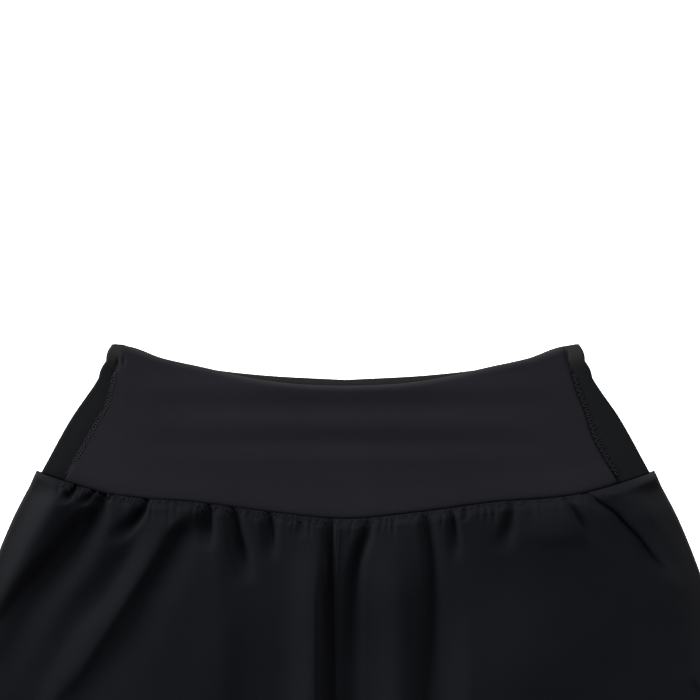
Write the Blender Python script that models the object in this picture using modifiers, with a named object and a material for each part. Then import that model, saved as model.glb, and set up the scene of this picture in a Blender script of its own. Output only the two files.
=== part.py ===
"""Running shorts laid out flat, front side up.

A wide plain yoke crosses the front of the waist. An elasticated band makes the back of the waist and
laps round both sides to meet the yoke. Four leg panels are gathered into the lower edge of the waist
and make two wide legs, open at the hems.

Lengths are in metres. +X is across, +Y points to the waist and +Z is up; the cloth rests on Z = 0.
Places on the cloth are written as x, across from the middle, and drop, down from the waist corners.
"""

import bisect
import math
from collections import namedtuple

import bmesh
import bpy

for thing in list(bpy.data.objects):
    bpy.data.objects.remove(thing, do_unlink=True)

# Driving dimensions of the garment, laid flat.
LENGTH = 0.405
CROTCH_DROP = 0.306
LEG_GAP_HALF = 0.012
LEG_GAP_CURVE = 0.7
BACK_HEM_EXTRA = 0.005

# Walls of cloth and the gaps between them.
LEG_WALL = 0.0012
BAND_WALL = 0.0016
YOKE_WALL = 0.0016
SEAM_GAP = 0.0003
LAYER_GAP = 0.0004

# Edges that run down the garment: how far each lies from the middle at a drop.
DownEdge = namedtuple("DownEdge", "drop distance")
BAND_SIDE = (
    DownEdge(0.0000, 0.1630),
    DownEdge(0.0235, 0.1725),
    DownEdge(0.0530, 0.1922),
    DownEdge(0.0905, 0.2125),
)
LEG_SIDE = (
    DownEdge(0.0905, 0.2160),
    DownEdge(0.1230, 0.2328),
    DownEdge(0.1650, 0.2495),
    DownEdge(0.2490, 0.2775),
    DownEdge(0.3770, 0.3030),
)
YOKE_LEFT = (
    DownEdge(0.0000, 0.1550),
    DownEdge(0.0170, 0.1600),
    DownEdge(0.0430, 0.1663),
    DownEdge(0.0560, 0.1740),
    DownEdge(0.0955, 0.1962),
)
YOKE_RIGHT = (
    DownEdge(0.0000, 0.1515),
    DownEdge(0.0315, 0.1600),
    DownEdge(0.0475, 0.1663),
    DownEdge(0.0665, 0.1726),
    DownEdge(0.0970, 0.1900),
)
CENTRE_SEAM = (
    DownEdge(0.1180, -0.0050),
    DownEdge(0.1650, -0.0070),
    DownEdge(0.2490, -0.0075),
    DownEdge(CROTCH_DROP, -0.0040),
    DownEdge(LENGTH, -0.0040),
)

# Edges that run across the garment: how far down each lies at a distance from the middle.
CrossEdge = namedtuple("CrossEdge", "distance drop")
FRONT_TOP = (
    CrossEdge(0.000, 0.0292),
    CrossEdge(0.035, 0.0278),
    CrossEdge(0.065, 0.0238),
    CrossEdge(0.100, 0.0160),
    CrossEdge(0.130, 0.0092),
    CrossEdge(0.155, 0.0003),
)
BACK_TOP = (
    CrossEdge(0.000, 0.0250),
    CrossEdge(0.060, 0.0216),
    CrossEdge(0.108, 0.0155),
    CrossEdge(0.130, 0.0092),
    CrossEdge(0.148, 0.0024),
    CrossEdge(0.163, 0.0000),
)
WAIST_SEAM = (
    CrossEdge(-0.052, 0.1172),
    CrossEdge(0.000, 0.1219),
    CrossEdge(0.052, 0.1172),
    CrossEdge(0.105, 0.1102),
    CrossEdge(0.140, 0.1077),
    CrossEdge(0.165, 0.1042),
    CrossEdge(0.190, 0.0975),
    CrossEdge(0.216, 0.0885),
)
HEM_LINE = (
    CrossEdge(0.008, 0.4000),
    CrossEdge(0.090, 0.3985),
    CrossEdge(0.200, 0.3900),
    CrossEdge(0.303, 0.3765),
)

# Waist: the band's outer face lies level, and the yoke sinks a little between its side seams.
BAND_HEIGHT = 0.0050
YOKE_SINK = 0.0011
YOKE_WAVE_HEIGHT = 0.0006
YOKE_WAVE_PITCH = 0.034
YOKE_WAVE_CREST = 0.060
YOKE_WAVE_END = 0.100

# Legs: the cloth puffs up under the waist seam, then settles on the back panels towards the hem.
LEG_LOWEST = LEG_WALL + LAYER_GAP + LEG_WALL
PUFF_HEIGHT = 0.0105
PUFF_RISE = 0.0080
PUFF_REACH = 0.085
PLAIN_HEIGHT = 0.0028
SIDE_HEIGHT = 0.0058
SIDE_REACH = 0.020
SEAM_BLEND = 0.013
SEAM_STIFF = 0.005
HEM_DEPTH = 0.0100
HEM_STEP = 0.0015
HEM_RISE = 0.0006

# Folded edges: how wide the turn is, and how far above the floor the front's cloth ends.
LEG_ROLL = 0.0045
LEG_ROLL_FOOT = LEG_WALL + SEAM_GAP
LEG_ROLL_LIP = 0.0011
BAND_ROLL = BAND_HEIGHT / 2
CROTCH_BLEND = 0.028
CROTCH_LIFT = 0.0008

# Casing round the elastic at the top of the band: soft rolls that show at the folded sides.
CASING_DEPTH = 0.0235
CASING_ROLLS = 2
CASING_SWELL = 0.0013

# Gathers: valleys that start at the waist seam. Depth is the share of the cloth's height they take.
GATHER_HOLD = 0.35
EDGE_CALM = 0.85
Gather = namedtuple("Gather", "seam_x end_x reach depth seam_half end_half")
GATHERS = (
    Gather(-0.2040, -0.2100, 0.014, 0.60, 0.0024, 0.0034),
    Gather(-0.1935, -0.2010, 0.022, 0.85, 0.0030, 0.0044),
    Gather(-0.1820, -0.1930, 0.020, 0.85, 0.0028, 0.0040),
    Gather(-0.1684, -0.2400, 0.110, 1.00, 0.0052, 0.0125),
    Gather(-0.1600, -0.1640, 0.012, 0.60, 0.0022, 0.0028),
    Gather(-0.1380, -0.2090, 0.090, 1.00, 0.0046, 0.0095),
    Gather(-0.1020, -0.2060, 0.155, 0.95, 0.0044, 0.0125),
    Gather(-0.0955, -0.0960, 0.036, 0.80, 0.0030, 0.0052),
    Gather(-0.0865, -0.0870, 0.012, 0.55, 0.0022, 0.0028),
    Gather(-0.0795, -0.0690, 0.062, 1.00, 0.0042, 0.0082),
    Gather(-0.0648, -0.0645, 0.014, 0.60, 0.0024, 0.0030),
    Gather(-0.0540, -0.0500, 0.044, 0.95, 0.0036, 0.0060),
    Gather(-0.0300, -0.0300, 0.014, 0.60, 0.0026, 0.0032),
    Gather(-0.0120, -0.0130, 0.175, 1.00, 0.0042, 0.0072),
    Gather(0.0148, 0.0040, 0.150, 0.90, 0.0040, 0.0066),
    Gather(0.0228, 0.0225, 0.014, 0.55, 0.0022, 0.0028),
    Gather(0.0305, 0.0305, 0.016, 0.60, 0.0024, 0.0030),
    Gather(0.0438, 0.0440, 0.012, 0.45, 0.0022, 0.0028),
    Gather(0.0535, 0.0590, 0.165, 1.00, 0.0042, 0.0074),
    Gather(0.0625, 0.0600, 0.018, 0.60, 0.0022, 0.0030),
    Gather(0.0743, 0.0750, 0.050, 0.90, 0.0036, 0.0060),
    Gather(0.0844, 0.0815, 0.032, 0.65, 0.0030, 0.0050),
    Gather(0.1060, 0.1060, 0.012, 0.50, 0.0022, 0.0030),
    Gather(0.1150, 0.1070, 0.044, 0.85, 0.0038, 0.0095),
    Gather(0.1330, 0.1340, 0.012, 0.40, 0.0024, 0.0030),
    Gather(0.1516, 0.1710, 0.040, 0.75, 0.0034, 0.0066),
    Gather(0.1684, 0.2290, 0.074, 1.00, 0.0038, 0.0068),
    Gather(0.1900, 0.1930, 0.012, 0.45, 0.0024, 0.0030),
)

# Rolls: long ridges of loose cloth, faded at both ends, or left open where they run out at the hem.
ROLL_FADE = 0.40
Roll = namedtuple("Roll", "top_x top_drop end_x end_drop height half")
ROLLS = (
    Roll(-0.1950, 0.098, -0.2450, 0.220, 0.0034, 0.0130),
    Roll(-0.1530, 0.106, -0.2380, 0.220, 0.0032, 0.0085),
    Roll(-0.1180, 0.110, -0.2420, 0.320, 0.0038, 0.0110),
    Roll(-0.0320, 0.122, -0.0360, 0.370, 0.0036, 0.0120),
    Roll(-0.0850, 0.180, -0.1050, 0.400, 0.0024, 0.0160),
    Roll(-0.1750, 0.270, -0.1950, 0.400, 0.0030, 0.0170),
    Roll(-0.2530, 0.240, -0.2680, 0.395, 0.0026, 0.0120),
    Roll(0.0020, 0.120, 0.0010, 0.300, 0.0026, 0.0055),
    Roll(0.0300, 0.120, 0.0260, 0.340, 0.0032, 0.0120),
    Roll(0.0790, 0.140, 0.0780, 0.400, 0.0028, 0.0140),
    Roll(0.1950, 0.098, 0.2480, 0.215, 0.0036, 0.0120),
    Roll(0.1450, 0.220, 0.1600, 0.400, 0.0026, 0.0190),
    Roll(0.2350, 0.210, 0.2560, 0.395, 0.0030, 0.0150),
)

# How finely the walls are divided.
LEG_COLUMN_STEP = 0.0062
LEG_ROLL_ANGLES = (30, 60, 90)
LEG_ROWS = 20
ROW_CROWDING = 1.65
BACK_COLUMNS = 18
BACK_ROWS = 12
YOKE_COLUMNS = 28
WAIST_ROWS = 12
BAND_HALF_COLUMNS = 15
BAND_STRIP_COLUMNS = 3
BAND_TURN_STEPS = 6

YOKE_COLOUR = (0.016, 0.015, 0.019)
BAND_COLOUR = (0.010, 0.011, 0.012)
LEG_COLOUR = (0.011, 0.012, 0.015)


def mix(a, b, t):
    return a + (b - a) * t


def ease(t):
    """0 before 0, 1 after 1, and smooth between."""
    t = min(max(t, 0.0), 1.0)
    return t * t * (3 - 2 * t)


def bump(offset, half):
    """A soft hump of height 1 at offset 0."""
    return math.exp(-((offset / half) ** 2))


def shares(count):
    return [i / count for i in range(count + 1)]


def curve(rows, at):
    """The value at a place, on the smooth line through rows of (place, value)."""
    places = [row[0] for row in rows]
    values = [row[1] for row in rows]
    at = min(max(at, places[0]), places[-1])
    last = len(rows) - 1
    b = min(max(bisect.bisect_left(places, at), 1), last)
    a = b - 1

    def slope(i):
        low, high = max(i - 1, 0), min(i + 1, last)
        return (values[high] - values[low]) / (places[high] - places[low])

    span = places[b] - places[a]
    t = (at - places[a]) / span
    rise = values[b] - values[a]
    start, end = slope(a) * span, slope(b) * span
    return values[a] + t * (start + t * (3 * rise - 2 * start - end + t * (start + end - 2 * rise)))


def patch(top, bottom, left, right):
    """A function of (u, v) that fills the space between four edges, each a function of 0 to 1."""
    corners = (left(0), right(0), left(1), right(1))

    def place(u, v):
        return tuple(
            mix(top(u)[k], bottom(u)[k], v)
            + mix(left(v)[k], right(v)[k], u)
            - mix(mix(corners[0][k], corners[1][k], u), mix(corners[2][k], corners[3][k], u), v)
            for k in (0, 1)
        )

    return place


def world(x, drop, z):
    return (x, LENGTH / 2 - drop, z)


def waist_seam(x):
    return curve(WAIST_SEAM, abs(x))


def hem_line(x):
    return curve(HEM_LINE, abs(x))


def leg_inner(side, drop):
    """x of the inner edge of a leg panel: the centre seam, and below the crotch the inside leg."""
    below = max(drop - CROTCH_DROP, 0.0) / (LENGTH - CROTCH_DROP)
    return curve(CENTRE_SEAM, drop) + side * (SEAM_GAP / 2 + LEG_GAP_HALF * below**LEG_GAP_CURVE)


def leg_open(drop):
    """0 where the two legs are one body of cloth, and 1 where each has an inside edge of its own."""
    return ease((drop - CROTCH_DROP + CROTCH_BLEND) / CROTCH_BLEND)


def yoke_height(x, drop):
    """Height of the yoke's outer face: it sinks between its side seams, in soft waves."""
    across = min(abs(x) / YOKE_LEFT[0].distance, 1.0)
    wave = YOKE_WAVE_HEIGHT * math.cos(math.tau * (drop - YOKE_WAVE_CREST) / YOKE_WAVE_PITCH)
    calm = (1 - across**2) * ease((YOKE_WAVE_END - drop) / YOKE_WAVE_PITCH)
    return BAND_HEIGHT - YOKE_SINK * (1 - across**4) + wave * calm


def gather_cut(row, x, drop):
    """Share of the cloth's height that one gather takes away at a place."""
    along = (drop - waist_seam(row.seam_x)) / row.reach
    down = min(max(along, 0.0), 1.0 + GATHER_HOLD)
    middle = mix(row.seam_x, row.end_x, down)
    half = mix(row.seam_half, row.end_half, min(down, 1.0))
    return row.depth * bump(x - middle, half) * (1 - ease(along - GATHER_HOLD))


def roll_rise(row, x, drop):
    """Height that one long roll of cloth adds at a place."""
    along = (drop - row.top_drop) / (row.end_drop - row.top_drop)
    open_end = row.end_drop > hem_line(row.end_x) - HEM_DEPTH
    fade = ease(along / ROLL_FADE) * (1.0 if open_end else ease((1 - along) / ROLL_FADE))
    return row.height * bump(x - mix(row.top_x, row.end_x, along), row.half) * fade


def edge_share(side, x, drop):
    """1 at a folded edge of a leg and 0 away from it."""
    to_side = max(curve(LEG_SIDE, drop) - LEG_ROLL - abs(x), 0.0)
    to_inner = max(abs(x - leg_inner(side, drop)) - LEG_ROLL, 0.0)
    return max(bump(to_side, SIDE_REACH), bump(to_inner, SIDE_REACH) * leg_open(drop))


def level_at_seam(x, drop):
    """x drawn towards the centre seam when it is near, so that the cloth stays level across the seam."""
    seam = curve(CENTRE_SEAM, drop)
    return seam + (x - seam) * ease(abs(x - seam) / SEAM_STIFF)


def leg_height(side, x, drop):
    """Height of a front leg panel's outer face."""
    x = level_at_seam(x, drop)
    below = max(drop - waist_seam(x), 0.0)
    at_seam = yoke_height(x, waist_seam(x)) - LEG_LOWEST
    cloth = mix(at_seam, PLAIN_HEIGHT + PUFF_HEIGHT * bump(below, PUFF_REACH), ease(below / PUFF_RISE))
    away = ease(below / SEAM_BLEND)
    edge = edge_share(side, x, drop) * away
    cloth = max(cloth, mix(cloth, SIDE_HEIGHT, edge))
    calm = 1 - EDGE_CALM * edge
    for row in GATHERS:
        cloth *= 1 - gather_cut(row, x, drop) * calm
    for row in ROLLS:
        cloth += roll_rise(row, x, drop) * calm * away
    return LEG_LOWEST + cloth + HEM_RISE * ease((drop - hem_line(x) + HEM_DEPTH) / HEM_STEP)


def cloth_material(name, colour):
    material = bpy.data.materials.new(name)
    material.use_nodes = True
    shader = material.node_tree.nodes["Principled BSDF"]
    shader.inputs["Base Color"].default_value = (*colour, 1.0)
    shader.inputs["Roughness"].default_value = 0.8
    shader.inputs["Metallic"].default_value = 0.0
    return material


def cloth_wall(name, columns, rows, place, wall, colour):
    """A wall of cloth: a grid put in place by a function of (column, row), thickened inwards."""
    sheet = bmesh.new()
    across, down = len(columns) - 1, len(rows) - 1
    bmesh.ops.create_grid(sheet, x_segments=across, y_segments=down, size=1.0)
    for vert in sheet.verts:
        i = round((vert.co.x + 1) / 2 * across)
        j = round((1 - vert.co.y) / 2 * down)
        vert.co = place(columns[i], rows[j])
    mesh = bpy.data.meshes.new(name)
    sheet.to_mesh(mesh)
    sheet.free()
    mesh.shade_smooth()
    mesh.materials.append(cloth_material(name, colour))
    piece = bpy.data.objects.new(name, mesh)
    PARTS.objects.link(piece)
    thicken = piece.modifiers.new("wall", "SOLIDIFY")
    thicken.thickness = wall
    thicken.offset = -1
    thicken.use_quality_normals = True


def leg_patch(side, roll_width, hem_extra):
    """The space between a leg panel's four edges, out to where its side edge turns."""

    def side_edge(v):
        top = waist_seam(LEG_SIDE[0].distance - roll_width) + SEAM_GAP
        drop = mix(top, hem_line(LEG_SIDE[-1].distance) + hem_extra, v)
        return side * (curve(LEG_SIDE, drop) - roll_width), drop

    def inner_edge(v):
        drop = mix(waist_seam(0.0) + SEAM_GAP, hem_line(0.0) + hem_extra, v)
        return leg_inner(side, drop), drop

    def top_edge(u):
        x = mix(inner_edge(0)[0], side_edge(0)[0], u)
        return x, waist_seam(x) + SEAM_GAP

    def hem_edge(u):
        x = mix(inner_edge(1)[0], side_edge(1)[0], u)
        return x, hem_line(x) + hem_extra

    return patch(top_edge, hem_edge, inner_edge, side_edge)


def front_columns(side):
    """Columns of a front panel: one down each gather and each crest between, and the turned edges."""
    gathers = sorted(abs(row.seam_x) for row in GATHERS if row.seam_x * side > 0)
    inner = side * leg_inner(side, waist_seam(0.0))
    marks = [inner, *gathers, LEG_SIDE[0].distance - LEG_ROLL]
    columns = [("in", "lip"), *(("in", angle) for angle in reversed(LEG_ROLL_ANGLES))]
    for a, b in zip(marks, marks[1:]):
        steps = max(2, round((b - a) / LEG_COLUMN_STEP))
        places = [mix(a, b, share) for share in shares(steps)[:-1]]
        columns += [("flat", (place - inner) / (marks[-1] - inner)) for place in places]
    return [*columns, ("flat", 1.0), *(("out", angle) for angle in LEG_ROLL_ANGLES), ("out", "lip")]


def front_rows():
    """Rows of a front panel: close together under the seam, and at the step of the hem."""
    length = hem_line(0.0) - waist_seam(0.0)
    hem = 1 - HEM_DEPTH / length
    return [hem * share**ROW_CROWDING for share in shares(LEG_ROWS)] + [hem + HEM_STEP / length, 1.0]


def turned(column, x, edge_x, top, foot):
    """x and z on a folded edge, where the front's cloth turns down to the back panel."""
    if column == "lip":
        return edge_x, foot
    angle = math.radians(column)
    return mix(x, edge_x, math.sin(angle)), mix(foot + LEG_ROLL_LIP, top, math.cos(angle))


def front_leg(name, side):
    """A front panel, with its side edge turned down, and its inside leg too below the crotch."""
    flat = leg_patch(side, LEG_ROLL, 0.0)
    inset = LEG_ROLL / (LEG_SIDE[0].distance - LEG_ROLL)
    turns = [*LEG_ROLL_ANGLES, "lip"]

    def side_turn(column, v):
        x, drop = flat(1.0, v)
        turned_x, z = turned(column, x, x + side * LEG_ROLL, leg_height(side, x, drop), LEG_ROLL_FOOT)
        return world(turned_x, drop + (waist_seam(turned_x) - waist_seam(x)) * (1 - v) ** 3, z)

    def inner_turn(column, v):
        x, drop = flat(inset, v)
        edge_x = leg_inner(side, drop)
        level_x = mix(x, edge_x, (turns.index(column) + 1) / len(turns))
        foot = LEG_ROLL_FOOT + CROTCH_LIFT * bump(drop - CROTCH_DROP, CROTCH_BLEND)
        turned_x, turned_z = turned(column, x, edge_x, leg_height(side, x, drop), foot)
        opened = leg_open(drop)
        z = mix(leg_height(side, level_x, drop), turned_z, opened)
        return world(mix(level_x, turned_x, opened), drop, z)

    def place(column, v):
        kind, value = column
        if kind == "out":
            return side_turn(value, v)
        if kind == "in":
            return inner_turn(value, v)
        x, drop = flat(mix(inset, 1.0, value), v)
        return world(x, drop, leg_height(side, x, drop))

    columns = front_columns(side)[::side]
    cloth_wall(name, columns, front_rows(), place, LEG_WALL, LEG_COLOUR)


def back_leg(name, side):
    """A back panel, flat on the floor."""
    flat = leg_patch(side, 0.0, BACK_HEM_EXTRA)

    def place(u, v):
        return world(*flat(u, v), LEG_WALL)

    cloth_wall(name, shares(BACK_COLUMNS)[::side], shares(BACK_ROWS), place, LEG_WALL, LEG_COLOUR)


def yoke_side(rows, v):
    """Distance and drop on a side seam of the yoke, from its top to the waist seam."""
    drop = mix(curve(FRONT_TOP, rows[0].distance), waist_seam(rows[-1].distance), v)
    return curve(rows, drop), drop


def front_yoke(name):
    """The plain panel across the front of the waist, between the two side seams."""

    def left(v):
        distance, drop = yoke_side(YOKE_LEFT, v)
        return SEAM_GAP - distance, drop

    def right(v):
        distance, drop = yoke_side(YOKE_RIGHT, v)
        return distance - SEAM_GAP, drop

    def top(u):
        x = mix(left(0)[0], right(0)[0], u)
        return x, curve(FRONT_TOP, abs(x))

    def bottom(u):
        x = mix(left(1)[0], right(1)[0], u)
        return x, waist_seam(x)

    flat = patch(top, bottom, left, right)

    def place(u, v):
        x, drop = flat(u, v)
        return world(x, drop, yoke_height(x, drop))

    cloth_wall(name, shares(YOKE_COLUMNS), shares(WAIST_ROWS), place, YOKE_WALL, YOKE_COLOUR)


def band_fold(v):
    """Distance and drop where the band starts to turn round its side, with the casing's soft rolls."""
    drop = mix(0.0, waist_seam(BAND_SIDE[-1].distance - BAND_ROLL), v)
    casing = min(drop / CASING_DEPTH, 1.0)
    swell = CASING_SWELL * abs(math.sin(math.pi * CASING_ROLLS * casing))
    return curve(BAND_SIDE, drop) + swell - BAND_ROLL, drop


def back_band(name):
    """One wall, from the right side seam over the fold, across the back and over the left fold."""

    def strip(side, u, v):
        seam = yoke_side(YOKE_LEFT if side < 0 else YOKE_RIGHT, v)
        fold = band_fold(v)
        return world(side * mix(seam[0], fold[0], u), mix(seam[1], fold[1], u), BAND_HEIGHT)

    def turn(side, u, v):
        x, drop = band_fold(v)
        angle = math.pi * (0.5 - u)
        turned_x = x + BAND_ROLL * math.cos(angle)
        drop += (waist_seam(turned_x) - waist_seam(x)) * v**3
        return world(side * turned_x, drop, BAND_ROLL * (1 + math.sin(angle)))

    def top(u):
        x = u * band_fold(0)[0]
        return x, curve(BACK_TOP, x)

    def bottom(u):
        x = u * band_fold(1)[0]
        return x, waist_seam(x)

    def middle(v):
        return 0.0, mix(top(0)[1], bottom(0)[1], v)

    half = patch(top, bottom, middle, band_fold)

    def back(side, u, v):
        x, drop = half(u, v)
        return world(side * x, drop, 0.0)

    def place(column, v):
        part, side, u = column
        return part(side, u, v)

    right = [(strip, 1, u) for u in shares(BAND_STRIP_COLUMNS)[:-1]]
    right += [(turn, 1, u) for u in shares(BAND_TURN_STEPS)]
    right += [(back, 1, u) for u in shares(BAND_HALF_COLUMNS)[-2::-1]]
    left = [(part, -1, u) for part, side, u in right[-2::-1]]
    cloth_wall(name, right + left, shares(WAIST_ROWS), place, BAND_WALL, BAND_COLOUR)


PARTS = bpy.data.collections.new("running_shorts")
bpy.context.scene.collection.children.link(PARTS)

front_yoke("front_yoke")
back_band("back_band")
front_leg("front_leg_left", -1)
front_leg("front_leg_right", 1)
back_leg("back_leg_left", -1)
back_leg("back_leg_right", 1)
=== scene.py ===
# %% [markdown]
# # Running shorts laid flat
# The shorts lie front side up on a pale table, seen from straight above. Almost everything in this lesson
# is one idea, used six times: a sheet of cloth is a grid, each point of the grid gets its place on the
# table from the edges of the cut piece, and a height from the folds that run over it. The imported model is
# the frame that the cloth is built on, so it is loaded first.

# %% Load the frame
import math
from collections import namedtuple

import bpy
import numpy as np
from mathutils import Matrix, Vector


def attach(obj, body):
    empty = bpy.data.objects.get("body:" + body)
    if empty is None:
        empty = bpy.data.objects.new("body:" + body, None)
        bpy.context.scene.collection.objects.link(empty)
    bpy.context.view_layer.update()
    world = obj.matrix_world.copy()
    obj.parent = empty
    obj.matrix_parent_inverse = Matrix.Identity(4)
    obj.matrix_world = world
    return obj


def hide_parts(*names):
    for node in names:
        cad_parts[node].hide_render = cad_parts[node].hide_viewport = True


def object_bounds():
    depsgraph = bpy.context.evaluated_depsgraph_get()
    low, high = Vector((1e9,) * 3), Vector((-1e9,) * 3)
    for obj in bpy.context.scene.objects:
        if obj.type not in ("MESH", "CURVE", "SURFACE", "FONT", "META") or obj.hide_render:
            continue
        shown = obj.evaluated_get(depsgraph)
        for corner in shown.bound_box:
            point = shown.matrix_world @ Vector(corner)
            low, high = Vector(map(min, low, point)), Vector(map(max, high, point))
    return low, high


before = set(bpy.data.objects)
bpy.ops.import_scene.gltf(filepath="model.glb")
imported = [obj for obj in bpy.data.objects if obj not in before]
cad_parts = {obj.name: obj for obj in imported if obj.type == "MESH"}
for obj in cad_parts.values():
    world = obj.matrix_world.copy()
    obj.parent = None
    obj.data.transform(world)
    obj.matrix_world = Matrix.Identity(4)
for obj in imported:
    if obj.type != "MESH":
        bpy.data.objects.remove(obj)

bpy.ops.object.select_all(action="DESELECT")
cad_low, cad_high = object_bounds()
print("frame:", sorted(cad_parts), "high", round(cad_high.z, 4))

# %% [markdown]
# ## Camera
# Clothes for a shop page are often laid on a table and photographed from a stand above it, with a fairly
# long lens so that raised cloth isn't spread outwards. The picture is square and shows 490 mm of table,
# which takes in the waist and the upper half of the legs.

# %% Set the camera over the waist
LENGTH = cad_high.y - cad_low.y
PICTURE_WIDTH = 0.490
PICTURE_CENTRE = (0.00315, LENGTH / 2 - 0.0042)

lens = bpy.data.cameras.new("camera")
lens.lens = 85
lens.sensor_width = 36
camera = bpy.data.objects.new("camera", lens)
bpy.context.scene.collection.objects.link(camera)
camera.location = (*PICTURE_CENTRE, PICTURE_WIDTH / 2 / math.tan(lens.angle / 2))
bpy.context.scene.camera = camera
print("camera height", round(camera.location.z, 3))

# %% [markdown]
# ## The pattern pieces
# A maker draws each piece by its edges. Here every edge is a short table: how far it lies from the middle at
# a drop below the waist corners, or how far down it lies at a distance from the middle. The same tables made
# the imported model, so the cloth fits it. A smooth curve through the rows stands in for the drawn line.

# %% Tables of edges
DownEdge = namedtuple("DownEdge", "drop distance")
CrossEdge = namedtuple("CrossEdge", "distance drop")
CROTCH_DROP = 0.306
LEG_GAP_HALF = 0.012
BAND_SIDE = (
    DownEdge(0.0000, 0.1630), DownEdge(0.0235, 0.1725), DownEdge(0.0530, 0.1922), DownEdge(0.0905, 0.2125),
)
LEG_SIDE = (
    DownEdge(0.0905, 0.2160), DownEdge(0.1230, 0.2328), DownEdge(0.1650, 0.2495), DownEdge(0.2490, 0.2775),
    DownEdge(0.3770, 0.3030),
)
YOKE_LEFT = (
    DownEdge(0.0000, 0.1550), DownEdge(0.0170, 0.1600), DownEdge(0.0430, 0.1663), DownEdge(0.0560, 0.1740),
    DownEdge(0.0955, 0.1962),
)
YOKE_RIGHT = (
    DownEdge(0.0000, 0.1515), DownEdge(0.0315, 0.1600), DownEdge(0.0475, 0.1663), DownEdge(0.0665, 0.1726),
    DownEdge(0.0970, 0.1900),
)
CENTRE_SEAM = (
    DownEdge(0.1180, -0.0050), DownEdge(0.1650, -0.0070), DownEdge(0.2490, -0.0075),
    DownEdge(CROTCH_DROP, -0.0040), DownEdge(LENGTH, -0.0040),
)
FRONT_TOP = (
    CrossEdge(0.000, 0.0292), CrossEdge(0.035, 0.0278), CrossEdge(0.065, 0.0238), CrossEdge(0.100, 0.0160),
    CrossEdge(0.130, 0.0092), CrossEdge(0.155, 0.0003),
)
BACK_TOP = (
    CrossEdge(0.000, 0.0250), CrossEdge(0.060, 0.0216), CrossEdge(0.108, 0.0155), CrossEdge(0.130, 0.0092),
    CrossEdge(0.148, 0.0024), CrossEdge(0.163, 0.0000),
)
WAIST_SEAM = (
    CrossEdge(-0.052, 0.1172), CrossEdge(0.000, 0.1219), CrossEdge(0.052, 0.1172), CrossEdge(0.105, 0.1102),
    CrossEdge(0.140, 0.1077), CrossEdge(0.165, 0.1042), CrossEdge(0.190, 0.0975), CrossEdge(0.216, 0.0885),
)
HEM_LINE = (
    CrossEdge(0.008, 0.4000), CrossEdge(0.090, 0.3985), CrossEdge(0.200, 0.3900), CrossEdge(0.303, 0.3765),
)
print("garment length", round(LENGTH, 4), "half waist", BAND_SIDE[0].distance)


# %% Helpers for curves and blends
def mix(a, b, t):
    return a + (b - a) * t


def ease(t):
    """0 before 0, 1 after 1, and smooth between."""
    t = np.clip(t, 0.0, 1.0)
    return t * t * (3 - 2 * t)


def bump(offset, half):
    """A soft hump of height 1 at offset 0."""
    return np.exp(-((offset / half) ** 2))


def curve(rows, at):
    """The values at places, on the smooth line through rows of (place, value)."""
    places, values = np.array([row[:2] for row in rows], float).T
    at = np.clip(at, places[0], places[-1])
    b = np.clip(np.searchsorted(places, at), 1, len(places) - 1)
    a = b - 1
    rows_in_turn = np.arange(len(places))
    low = np.maximum(rows_in_turn - 1, 0)
    high = np.minimum(rows_in_turn + 1, len(places) - 1)
    slope = (values[high] - values[low]) / (places[high] - places[low])
    span = places[b] - places[a]
    t = (at - places[a]) / span
    rise = values[b] - values[a]
    start, end = slope[a] * span, slope[b] * span
    return values[a] + t * (start + t * (3 * rise - 2 * start - end + t * (start + end - 2 * rise)))


def waist_seam(x):
    return curve(WAIST_SEAM, np.abs(x))


def hem_line(x):
    return curve(HEM_LINE, np.abs(x))


def patch(top, bottom, left, right):
    """Fills the space between four edges: a function of (u, v) that gives x and drop."""
    def place(u, v):
        upper, lower, near, far = top(u), bottom(u), left(v), right(v)
        upper_near, upper_far, lower_near, lower_far = left(0.0), right(0.0), left(1.0), right(1.0)
        return tuple(
            mix(upper[k], lower[k], v) + mix(near[k], far[k], u)
            - mix(mix(upper_near[k], upper_far[k], u), mix(lower_near[k], lower_far[k], u), v)
            for k in (0, 1)
        )
    return place


print("waist seam at the middle", float(waist_seam(0.0)), "hem at the middle", float(hem_line(0.0)))

# %% [markdown]
# ## From a grid to a sheet of cloth
# A flat grid is added as a primitive, and each of its points is moved to its place on the garment, as a
# sculptor would pull it. Solidify then gives the cloth its wall, inwards from the face that shows. A UV map
# in metres is measured along the cloth itself, so that a weave keeps its size over folds and round edges.


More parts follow.
